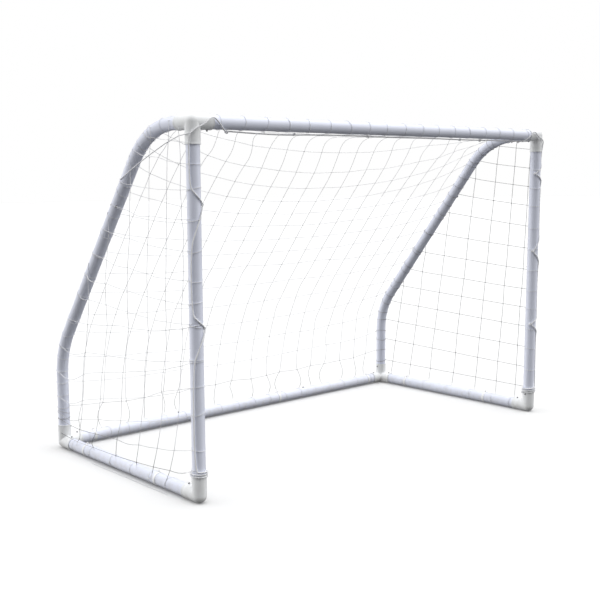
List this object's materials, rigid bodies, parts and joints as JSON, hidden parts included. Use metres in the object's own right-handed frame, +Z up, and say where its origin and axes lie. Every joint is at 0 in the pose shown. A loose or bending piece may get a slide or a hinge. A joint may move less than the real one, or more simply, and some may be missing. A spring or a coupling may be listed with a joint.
{
  "type": "soccer goal frame",
  "caption": "Freestanding garden soccer goal: plastic tubes in moulded corner fittings with snap buttons, a knotted net over sloping side bars, and a laced border rope.",
  "frame": {"origin": "middle of the footprint, on the ground", "axes": "+X along the goal line to the right when looking into the mouth, +Y from the mouth to the rear bar, +Z up"},
  "size_m": [2.3994, 1.1866, 1.5673],
  "materials": {
    "tube": "satin extruded white plastic",
    "fitting": "fine moulded texture, warm white",
    "snap_button": "dull plated steel",
    "spring_leaf": "spring steel",
    "net_twine": "knotted white twine",
    "border_rope": "laid white cord",
    "net_clip": "moulded white plastic"
  },
  "bodies": {
    "frame": {"button_springs": "spring_leaf", "crossbar_middle": "tube", "crossbar_rope": "border_rope", "left_crossbar_section": "tube", "left_front_elbow": "fitting", "left_ground_bar": "tube", "left_rear_bar_section": "tube", "left_rear_fitting": "fitting", "left_side_bar_lower": "tube", "left_side_bar_upper": "tube", "left_top_fitting": "fitting", "left_upright_lower": "tube", "left_upright_rope": "border_rope", "left_upright_upper": "tube", "net_clips": "net_clip", "net_left_side": "net_twine", "net_lower": "net_twine", "net_lower_bend": "net_twine", "net_right_side": "net_twine", "net_slope": "net_twine", "net_top": "net_twine", "net_top_bend": "net_twine", "rear_bar_middle": "tube", "right_crossbar_section": "tube", "right_front_elbow": "fitting", "right_ground_bar": "tube", "right_rear_bar_section": "tube", "right_rear_fitting": "fitting", "right_side_bar_lower": "tube", "right_side_bar_upper": "tube", "right_top_fitting": "fitting", "right_upright_lower": "tube", "right_upright_rope": "border_rope", "right_upright_upper": "tube"},
    "left_crossbar_seam_button": {"left_crossbar_seam_button": "snap_button"},
    "left_front_ground_bar_button": {"left_front_ground_bar_button": "snap_button"},
    "left_front_upright_button": {"left_front_upright_button": "snap_button"},
    "left_rear_bar_seam_button": {"left_rear_bar_seam_button": "snap_button"},
    "left_rear_ground_bar_button": {"left_rear_ground_bar_button": "snap_button"},
    "left_rear_rear_bar_button": {"left_rear_rear_bar_button": "snap_button"},
    "left_rear_side_bar_button": {"left_rear_side_bar_button": "snap_button"},
    "left_side_bar_seam_button": {"left_side_bar_seam_button": "snap_button"},
    "left_top_crossbar_button": {"left_top_crossbar_button": "snap_button"},
    "left_top_side_bar_button": {"left_top_side_bar_button": "snap_button"},
    "left_top_upright_button": {"left_top_upright_button": "snap_button"},
    "left_upright_seam_button": {"left_upright_seam_button": "snap_button"},
    "right_crossbar_seam_button": {"right_crossbar_seam_button": "snap_button"},
    "right_front_ground_bar_button": {"right_front_ground_bar_button": "snap_button"},
    "right_front_upright_button": {"right_front_upright_button": "snap_button"},
    "right_rear_bar_seam_button": {"right_rear_bar_seam_button": "snap_button"},
    "right_rear_ground_bar_button": {"right_rear_ground_bar_button": "snap_button"},
    "right_rear_rear_bar_button": {"right_rear_rear_bar_button": "snap_button"},
    "right_rear_side_bar_button": {"right_rear_side_bar_button": "snap_button"},
    "right_side_bar_seam_button": {"right_side_bar_seam_button": "snap_button"},
    "right_top_crossbar_button": {"right_top_crossbar_button": "snap_button"},
    "right_top_side_bar_button": {"right_top_side_bar_button": "snap_button"},
    "right_top_upright_button": {"right_top_upright_button": "snap_button"},
    "right_upright_seam_button": {"right_upright_seam_button": "snap_button"}
  },
  "joints": [
    {"name": "left_crossbar_seam_button_press", "type": "slide", "parent": "frame", "child": "left_crossbar_seam_button", "axis": [0, -1, 0], "range_m": [0, 0.0085], "stiffness_N_per_m": 500, "springref_m": -0.006, "deforming": ["button_springs"]},
    {"name": "left_front_ground_bar_button_press", "type": "slide", "parent": "frame", "child": "left_front_ground_bar_button", "axis": [0, 0, -1], "range_m": [0, 0.0082], "stiffness_N_per_m": 500, "springref_m": -0.006, "deforming": ["button_springs"]},
    {"name": "left_front_upright_button_press", "type": "slide", "parent": "frame", "child": "left_front_upright_button", "axis": [-1, 0, 0], "range_m": [0, 0.0082], "stiffness_N_per_m": 500, "springref_m": -0.006, "deforming": ["button_springs"]},
    {"name": "left_rear_bar_seam_button_press", "type": "slide", "parent": "frame", "child": "left_rear_bar_seam_button", "axis": [0, 0, -1], "range_m": [0, 0.0085], "stiffness_N_per_m": 500, "springref_m": -0.006, "deforming": ["button_springs"]},
    {"name": "left_rear_ground_bar_button_press", "type": "slide", "parent": "frame", "child": "left_rear_ground_bar_button", "axis": [0, 0, -1], "range_m": [0, 0.0082], "stiffness_N_per_m": 500, "springref_m": -0.006, "deforming": ["button_springs"]},
    {"name": "left_rear_rear_bar_button_press", "type": "slide", "parent": "frame", "child": "left_rear_rear_bar_button", "axis": [0, 0, -1], "range_m": [0, 0.0082], "stiffness_N_per_m": 500, "springref_m": -0.006, "deforming": ["button_springs"]},
    {"name": "left_rear_side_bar_button_press", "type": "slide", "parent": "frame", "child": "left_rear_side_bar_button", "axis": [-1, 0, 0], "range_m": [0, 0.0082], "stiffness_N_per_m": 500, "springref_m": -0.006, "deforming": ["button_springs"]},
    {"name": "left_side_bar_seam_button_press", "type": "slide", "parent": "frame", "child": "left_side_bar_seam_button", "axis": [0.7071, 0.5607, 0.4308], "range_m": [0, 0.0085], "stiffness_N_per_m": 500, "springref_m": -0.006, "deforming": ["button_springs"]},
    {"name": "left_top_crossbar_button_press", "type": "slide", "parent": "frame", "child": "left_top_crossbar_button", "axis": [0, 0, 1], "range_m": [0, 0.0082], "stiffness_N_per_m": 500, "springref_m": -0.006, "deforming": ["button_springs"]},
    {"name": "left_top_side_bar_button_press", "type": "slide", "parent": "frame", "child": "left_top_side_bar_button", "axis": [-1, 0, 0], "range_m": [0, 0.0082], "stiffness_N_per_m": 500, "springref_m": -0.006, "deforming": ["button_springs"]},
    {"name": "left_top_upright_button_press", "type": "slide", "parent": "frame", "child": "left_top_upright_button", "axis": [0, -1, 0], "range_m": [0, 0.0082], "stiffness_N_per_m": 500, "springref_m": -0.006, "deforming": ["button_springs"]},
    {"name": "left_upright_seam_button_press", "type": "slide", "parent": "frame", "child": "left_upright_seam_button", "axis": [0, -1, 0], "range_m": [0, 0.0085], "stiffness_N_per_m": 500, "springref_m": -0.006, "deforming": ["button_springs"]},
    {"name": "right_crossbar_seam_button_press", "type": "slide", "parent": "frame", "child": "right_crossbar_seam_button", "axis": [0, -1, 0], "range_m": [0, 0.0085], "stiffness_N_per_m": 500, "springref_m": -0.006, "deforming": ["button_springs"]},
    {"name": "right_front_ground_bar_button_press", "type": "slide", "parent": "frame", "child": "right_front_ground_bar_button", "axis": [0, 0, -1], "range_m": [0, 0.0082], "stiffness_N_per_m": 500, "springref_m": -0.006, "deforming": ["button_springs"]},
    {"name": "right_front_upright_button_press", "type": "slide", "parent": "frame", "child": "right_front_upright_button", "axis": [1, 0, 0], "range_m": [0, 0.0082], "stiffness_N_per_m": 500, "springref_m": -0.006, "deforming": ["button_springs"]},
    {"name": "right_rear_bar_seam_button_press", "type": "slide", "parent": "frame", "child": "right_rear_bar_seam_button", "axis": [0, 0, -1], "range_m": [0, 0.0085], "stiffness_N_per_m": 500, "springref_m": -0.006, "deforming": ["button_springs"]},
    {"name": "right_rear_ground_bar_button_press", "type": "slide", "parent": "frame", "child": "right_rear_ground_bar_button", "axis": [0, 0, -1], "range_m": [0, 0.0082], "stiffness_N_per_m": 500, "springref_m": -0.006, "deforming": ["button_springs"]},
    {"name": "right_rear_rear_bar_button_press", "type": "slide", "parent": "frame", "child": "right_rear_rear_bar_button", "axis": [0, 0, -1], "range_m": [0, 0.0082], "stiffness_N_per_m": 500, "springref_m": -0.006, "deforming": ["button_springs"]},
    {"name": "right_rear_side_bar_button_press", "type": "slide", "parent": "frame", "child": "right_rear_side_bar_button", "axis": [1, 0, 0], "range_m": [0, 0.0082], "stiffness_N_per_m": 500, "springref_m": -0.006, "deforming": ["button_springs"]},
    {"name": "right_side_bar_seam_button_press", "type": "slide", "parent": "frame", "child": "right_side_bar_seam_button", "axis": [-0.7071, 0.5607, 0.4308], "range_m": [0, 0.0085], "stiffness_N_per_m": 500, "springref_m": -0.006, "deforming": ["button_springs"]},
    {"name": "right_top_crossbar_button_press", "type": "slide", "parent": "frame", "child": "right_top_crossbar_button", "axis": [0, 0, 1], "range_m": [0, 0.0082], "stiffness_N_per_m": 500, "springref_m": -0.006, "deforming": ["button_springs"]},
    {"name": "right_top_side_bar_button_press", "type": "slide", "parent": "frame", "child": "right_top_side_bar_button", "axis": [1, 0, 0], "range_m": [0, 0.0082], "stiffness_N_per_m": 500, "springref_m": -0.006, "deforming": ["button_springs"]},
    {"name": "right_top_upright_button_press", "type": "slide", "parent": "frame", "child": "right_top_upright_button", "axis": [0, -1, 0], "range_m": [0, 0.0082], "stiffness_N_per_m": 500, "springref_m": -0.006, "deforming": ["button_springs"]},
    {"name": "right_upright_seam_button_press", "type": "slide", "parent": "frame", "child": "right_upright_seam_button", "axis": [0, -1, 0], "range_m": [0, 0.0085], "stiffness_N_per_m": 500, "springref_m": -0.006, "deforming": ["button_springs"]}
  ]
}
